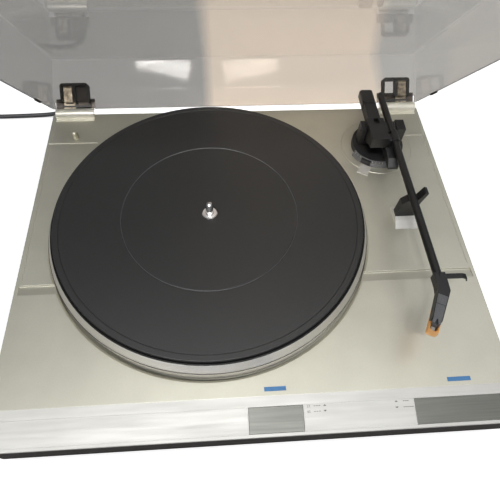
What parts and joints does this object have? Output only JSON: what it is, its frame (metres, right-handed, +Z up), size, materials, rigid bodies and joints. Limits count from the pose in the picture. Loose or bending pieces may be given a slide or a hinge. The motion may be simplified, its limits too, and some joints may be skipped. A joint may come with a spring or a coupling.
{
  "type": "turntable",
  "caption": "Belt-driven record turntable with a pivoted tonearm, a sloping front strip with keys, and a hinged clear dust cover held open.",
  "frame": {"origin": "on the spindle's axis, level with the top of the mat's raised rim, where a record lies", "axes": "+X to the right seen from the front, +Y to the rear, +Z up along the spindle"},
  "size_m": [0.7539, 0.434, 0.3559],
  "materials": {
    "case_brown": "matt",
    "case_board": "matt",
    "steel": "brushed",
    "bright_steel": "polished",
    "rubber_black": "matt",
    "rubber_mat": "fine grain",
    "deck_silver": "metallic silver paint",
    "strip_silver": "brushed",
    "key_metal": "brushed dark",
    "bronze": "turned",
    "platter_metal": "turned",
    "core_iron": "varnished",
    "board_brown": "matt",
    "black_plastic": "satin",
    "black_metal": "satin",
    "grey_plastic": "satin",
    "orange_plastic": "gloss",
    "clear_cover": "clear smoke",
    "cord_grey": "matt",
    "brass": "bright"
  },
  "bodies": {
    "case": {"plinth_shell": "case_brown", "bottom_cover": "case_board", "base_screws": "steel", "feet": "rubber_black", "deck_plate": "deck_silver", "front_strip": "strip_silver", "left_trim_plate": "strip_silver", "centre_panel": "strip_silver", "bearing_housing": "steel", "bearing_bushes": "bronze", "thrust_bearing": "steel", "motor": "steel", "drive_belt": "rubber_black", "mains_transformer": "core_iron", "circuit_board": "board_brown", "speed_switch": "black_plastic", "cue_damper": "black_plastic", "adaptor_peg": "deck_silver", "hinge_covers": "deck_silver", "hinge_brackets": "steel", "hinge_pins": "bright_steel", "arm_base": "black_plastic", "scale_index": "strip_silver", "arm_rest_foot": "strip_silver", "arm_rest_post": "black_plastic", "strain_relief": "rubber_black", "mains_lead": "cord_grey", "mains_coil": "cord_grey", "mains_tail": "cord_grey", "mains_plug": "cord_grey", "plug_pins": "brass"},
    "platter": {"spindle": "bright_steel", "platter": "platter_metal", "rubber_mat": "rubber_mat"},
    "motor_rotor": {"motor_shaft": "bright_steel", "motor_pulley": "bronze"},
    "lid": {"dust_cover": "clear_cover", "lid_bumpers": "rubber_black", "hinge_arms": "steel", "hinge_clips": "black_plastic"},
    "antiskate": {"antiskate_ring": "grey_plastic", "antiskate_tab": "black_plastic"},
    "speed_key": {"speed_key": "key_metal"},
    "cue_key": {"cue_key": "key_metal"},
    "cue_lift": {"cue_lift": "black_plastic"},
    "arm_swing": {"arm_yoke": "black_metal", "pivot_screws": "bright_steel"},
    "arm_tilt": {"arm_carrier": "black_metal", "weight_stem": "steel", "arm_tube": "black_metal", "headshell": "black_plastic", "cartridge": "grey_plastic", "finger_lift": "black_metal"},
    "counterweight": {"counterweight": "black_metal"},
    "stylus": {"stylus_holder": "orange_plastic", "cantilever": "bright_steel"}
  },
  "joints": [
    {"name": "lid_hinge", "type": "hinge", "parent": "case", "child": "lid", "pos_m": [0.0363, 0.1681, -0.0225], "axis": [1, 0, 0], "range_deg": [0, 52.1]},
    {"name": "platter_spin", "type": "hinge", "parent": "case", "child": "platter", "pos_m": [0, 0, 0], "axis": [0, 0, -1], "continuous": true},
    {"name": "motor_spin", "type": "hinge", "parent": "case", "child": "motor_rotor", "pos_m": [-0.079, 0.079, -0.0175], "axis": [0, 0, -1], "continuous": true},
    {"name": "arm_swing", "type": "hinge", "parent": "case", "child": "arm_swing", "pos_m": [0.1888, 0.1013, -0.0135], "axis": [0, 0, -1], "range_deg": [0, 46]},
    {"name": "arm_tilt", "type": "hinge", "parent": "arm_swing", "child": "arm_tilt", "pos_m": [0.1888, 0.1013, 0.0045], "axis": [-0.9998, 0.0192, 0], "range_deg": [0, 2]},
    {"name": "weight_slide", "type": "slide", "parent": "arm_tilt", "child": "counterweight", "axis": [0.0192, 0.9985, -0.0511], "range_m": [-0.003, 0]},
    {"name": "stylus_pull", "type": "slide", "parent": "arm_tilt", "child": "stylus", "axis": [-0.4633, -0.885, 0.0457], "range_m": [0, 0.008]},
    {"name": "antiskate_turn", "type": "hinge", "parent": "case", "child": "antiskate", "pos_m": [0.1888, 0.1013, -0.0195], "axis": [0, 0, 1], "range_deg": [-20, 20]},
    {"name": "speed_press", "type": "slide", "parent": "case", "child": "speed_key", "axis": [0, 0, -1], "range_m": [0, 0.0025]},
    {"name": "cue_press", "type": "slide", "parent": "case", "child": "cue_key", "axis": [0, 0, -1], "range_m": [0, 0.0025]},
    {"name": "cue_raise", "type": "slide", "parent": "case", "child": "cue_lift", "axis": [0, 0, 1], "range_m": [0, 0.0014]}
  ],
  "couplings": [
    {"joint": "motor_spin", "follows": "platter_spin", "ratio": 12.957},
    {"joint": "cue_raise", "follows": "cue_press", "ratio": 0.56}
  ]
}
